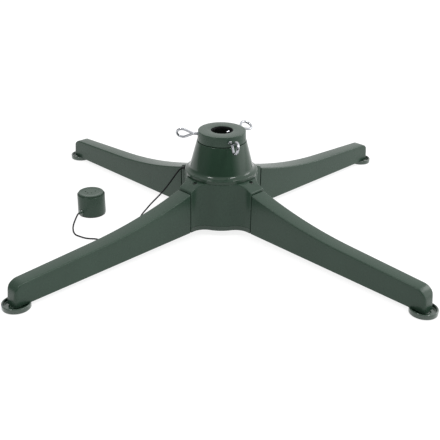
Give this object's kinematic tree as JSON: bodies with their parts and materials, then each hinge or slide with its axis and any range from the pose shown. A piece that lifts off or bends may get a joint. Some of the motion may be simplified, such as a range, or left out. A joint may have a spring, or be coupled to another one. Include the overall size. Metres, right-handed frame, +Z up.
{
  "type": "rotating christmas tree stand",
  "caption": "Motorised rotating stand for an artificial tree: a round hub on splayed plug-in legs, a turning pole socket clamped by eye bolts, and a corded step-on switch.",
  "frame": {"origin": "on the floor, on the axis of the pole socket", "axes": "+Z up along the pole socket; -Y is the front as pictured; the legs lie on the diagonals"},
  "size_m": [0.5612, 0.5612, 0.1542],
  "materials": {
    "green_plastic": "moulded, satin gloss",
    "dark_green_plastic": "moulded, matt",
    "bright_zinc": "bright zinc plate",
    "steel": "plain zinc plate",
    "bronze": "sintered",
    "white_plastic": "natural nylon",
    "black_plastic": "moulded",
    "rubber": "matt"
  },
  "bodies": {
    "stand": {"hub_housing": "green_plastic", "base_plate": "dark_green_plastic", "base_screws": "steel", "deck_bush": "bronze", "dc_jack": "black_plastic", "jack_nut": "steel", "cord_gland": "rubber", "leg_front_left": "green_plastic", "leg_front_right": "green_plastic", "leg_rear_right": "green_plastic", "leg_rear_left": "green_plastic", "leg_cover_front_left": "dark_green_plastic", "leg_cover_front_right": "dark_green_plastic", "leg_cover_rear_right": "dark_green_plastic", "leg_cover_rear_left": "dark_green_plastic", "leg_lock_screws": "steel", "foot_cup_front_left": "green_plastic", "foot_cup_front_right": "green_plastic", "foot_cup_rear_right": "green_plastic", "foot_cup_rear_left": "green_plastic", "foot_pad_front_left": "rubber", "foot_pad_front_right": "rubber", "foot_pad_rear_right": "rubber", "foot_pad_rear_left": "rubber", "foot_screws": "steel", "cone_cover": "green_plastic", "cone_screws": "steel", "cone_bush": "bronze", "bearing_race_lower": "steel", "motor_can": "steel", "motor_plate": "steel", "motor_screws": "steel", "terminal_block": "white_plastic", "internal_leads": "rubber", "switch_cord": "rubber", "switch_housing": "green_plastic", "switch_base": "dark_green_plastic", "switch_pad": "rubber", "switch_spring": "steel", "switch_contact": "black_plastic", "switch_gland": "green_plastic", "switch_screws": "steel"},
    "turntable": {"spindle_tube": "steel", "pole_stop": "steel", "spindle_gear": "white_plastic", "friction_washer": "bronze", "gear_circlip": "steel", "bearing_race_upper": "steel", "collar_cap": "green_plastic", "clamp_nuts": "steel"},
    "ball_set": {"bearing_balls": "bright_zinc", "bearing_cage": "bronze"},
    "pinion": {"motor_shaft": "bright_zinc", "drive_pinion": "bronze"},
    "left_bolt": {"eye_bolt_left": "bright_zinc"},
    "front_bolt": {"eye_bolt_front": "bright_zinc"},
    "rear_bolt": {"eye_bolt_rear": "bright_zinc"},
    "switch_button": {"switch_cap": "green_plastic"}
  },
  "joints": [
    {"name": "turntable_spin", "type": "hinge", "parent": "stand", "child": "turntable", "pos_m": [0, 0, 0.0905], "axis": [0, 0, 1], "continuous": true},
    {"name": "ball_set_spin", "type": "hinge", "parent": "stand", "child": "ball_set", "pos_m": [0, 0, 0.0905], "axis": [0, 0, 1], "continuous": true},
    {"name": "pinion_spin", "type": "hinge", "parent": "stand", "child": "pinion", "pos_m": [0.032, 0, 0.046], "axis": [0, 0, 1], "continuous": true},
    {"name": "left_bolt_screw", "type": "slide", "parent": "turntable", "child": "left_bolt", "axis": [-0.9945, 0.1045, 0], "range_m": [-0.006, 0.0085]},
    {"name": "front_bolt_screw", "type": "slide", "parent": "turntable", "child": "front_bolt", "axis": [0.3256, -0.9455, 0], "range_m": [-0.007, 0.0075]},
    {"name": "rear_bolt_screw", "type": "slide", "parent": "turntable", "child": "rear_bolt", "axis": [0.6428, 0.766, 0], "range_m": [-0.005, 0.0095]},
    {"name": "switch_press", "type": "slide", "parent": "stand", "child": "switch_button", "axis": [0, 0, -1], "range_m": [0, 0.0025], "stiffness_N_per_m": 2000, "springref_m": -0.002, "deforming": ["switch_spring"]}
  ],
  "couplings": [
    {"joint": "ball_set_spin", "follows": "turntable_spin", "ratio": 0.5},
    {"joint": "pinion_spin", "follows": "turntable_spin", "ratio": -3}
  ]
}
